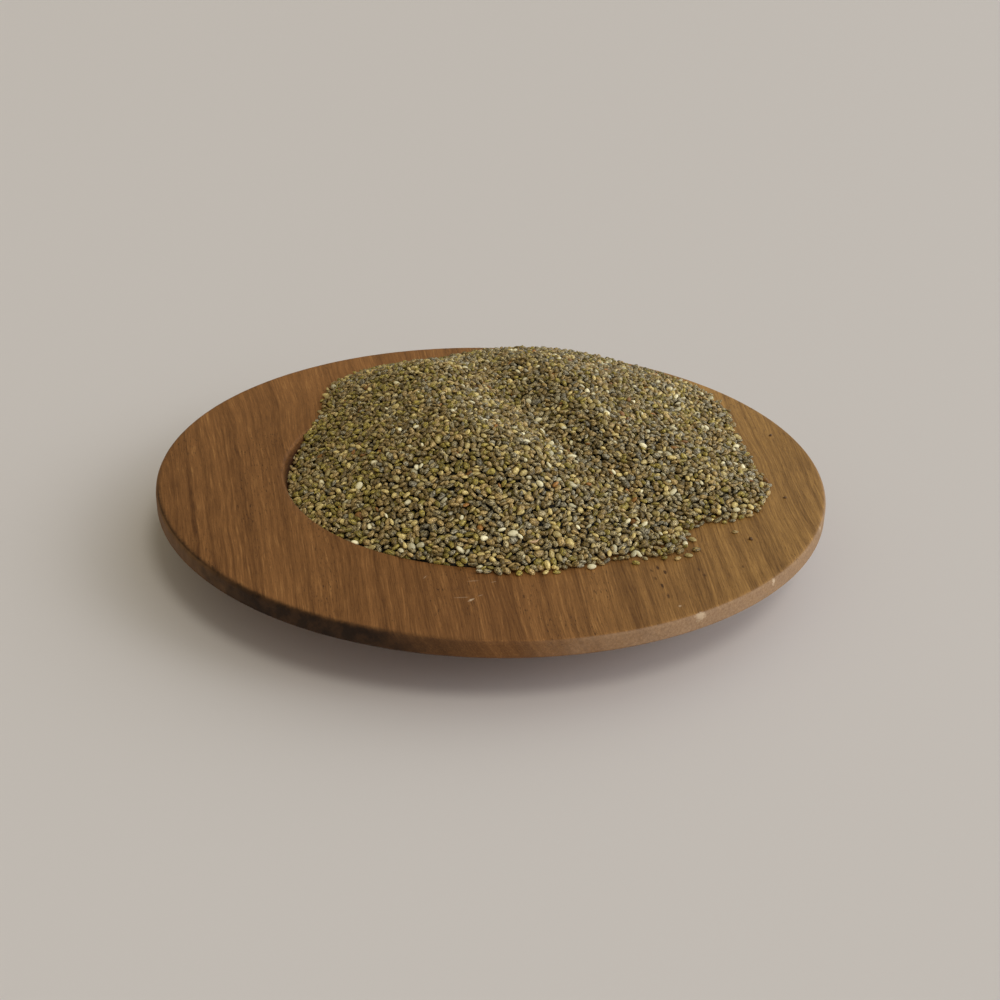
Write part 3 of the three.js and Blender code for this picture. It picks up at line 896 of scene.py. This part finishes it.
bm = bmesh.new()
husk_tones = bm.verts.layers.float.new("husk_tone")
for bit in SLIVERS:
    add_sliver(bm, husk_tones, *bit)
for _ in range(OTHER_SLIVERS):
    out, way, turn = draws.uniform(*SLIVER_PLACE)
    x, y = out * math.cos(way), out * math.sin(way)
    add_sliver(bm, husk_tones, x, y, turn, *draws.uniform(*SLIVER_FORM))
for crumb in CRUMBS:
    add_crumb(bm, husk_tones, *crumb)
chaff_mesh = smooth_mesh("chaff", bm)
chaff_mesh.materials.append(dry_husk())
chaff = in_scene("chaff", chaff_mesh)
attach(chaff, "root")
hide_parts("chia_heap")


# ---------------------------------------------------------------------------------------------
# Floor, light and camera: a pale floor, a sky that is bright on the right, dimmer in front and
# dim and warm on the left, two soft lamps, and the photograph's view.
# ---------------------------------------------------------------------------------------------
bm = bmesh.new()
bmesh.ops.create_grid(bm, x_segments=2, y_segments=2, size=3.0)
floor_mesh = bpy.data.meshes.new("floor")
bm.to_mesh(floor_mesh)
bm.free()
floor = in_scene("floor", floor_mesh)
floor_material = bpy.data.materials.new("pale_floor")
floor_material.use_nodes = True
floor_shader = floor_material.node_tree.nodes["Principled BSDF"]
floor_shader.inputs["Base Color"].default_value = colour(222, 218, 215)
floor_shader.inputs["Roughness"].default_value = 0.7
floor_mesh.materials.append(floor_material)

# The sky's colour on the left, and what its right and its front add to it.
SKY_LEFT = (0.25, 0.215, 0.13, 1)
SKY_RIGHT = (1.14, 1.21, 1.42, 1)
SKY_FRONT = (0.21, 0.21, 0.26, 1)
world = bpy.data.worlds.new("studio")
bpy.context.scene.world = world
world.use_nodes = True
sky = world.node_tree
sky.nodes.clear()
side = place(sky, "ShaderNodeSeparateXYZ")
give(sky, side.inputs[0], place(sky, "ShaderNodeTexCoord").outputs["Generated"])
rightward = maths(sky, "MAXIMUM", side.outputs[0], 0.0)
forward = maths(sky, "MAXIMUM", maths(sky, "MULTIPLY", side.outputs[1], -1.0), 0.0)
glow = mix(sky, rightward, SKY_LEFT, SKY_RIGHT, "ADD")
glow = mix(sky, forward, glow, SKY_FRONT, "ADD")
background = place(sky, "ShaderNodeBackground")
give(sky, background.inputs["Color"], glow)
give(sky, place(sky, "ShaderNodeOutputWorld").inputs["Surface"], background.outputs[0])

# Name, azimuth and height in degrees, strength, width in degrees, colour.
LAMPS = [
    ("window_light", -63, 58, 0.5, 15, (1.0, 0.94, 0.82)),
    ("side_light", -20, 30, 0.38, 24, (1.0, 0.99, 1.0)),
]
for name, azimuth, height, strength, width, tint in LAMPS:
    lamp_data = bpy.data.lights.new(name, "SUN")
    lamp_data.energy = strength
    lamp_data.angle = math.radians(width)
    lamp_data.color = tint
    lamp = in_scene(name, lamp_data)
    azimuth, height = math.radians(azimuth), math.radians(height)
    level = math.cos(height)
    towards_lamp = Vector((math.cos(azimuth) * level, math.sin(azimuth) * level, math.sin(height)))
    lamp.rotation_euler = towards_lamp.to_track_quat("Z", "Y").to_euler()

# How far back from the plate's axis and up from its rim, in plate radii. The camera is rolled
# because the real plate stood a little askew.
CAMERA_BACK = 4.117
CAMERA_UP = 1.964
CAMERA_PAN = math.radians(0.379)
CAMERA_TILT = math.radians(26.813)
CAMERA_ROLL = math.radians(1.523)
FOCAL_PIXELS = 1500
FRAME_PIXELS = 1000

camera_data = bpy.data.cameras.new("camera")
camera_data.sensor_width = 36.0
camera_data.lens = camera_data.sensor_width * FOCAL_PIXELS / FRAME_PIXELS
camera = in_scene("camera", camera_data)
level = math.cos(CAMERA_TILT)
ahead = Vector((math.sin(CAMERA_PAN) * level, math.cos(CAMERA_PAN) * level, -math.sin(CAMERA_TILT)))
right = ahead.cross(Vector((0, 0, 1))).normalized()
above = right.cross(ahead)
rolled_right = right * math.cos(CAMERA_ROLL) + above * math.sin(CAMERA_ROLL)
rolled_up = above * math.cos(CAMERA_ROLL) - right * math.sin(CAMERA_ROLL)
camera.matrix_world = Matrix.Translation(
    (0, -CAMERA_BACK * PLATE_RADIUS * MM, (CAMERA_UP * PLATE_RADIUS + RIM_TOP) * MM)
) @ Matrix((rolled_right, rolled_up, -ahead)).transposed().to_4x4()
bpy.context.scene.camera = camera
bpy.context.scene.view_settings.view_transform = "Standard"
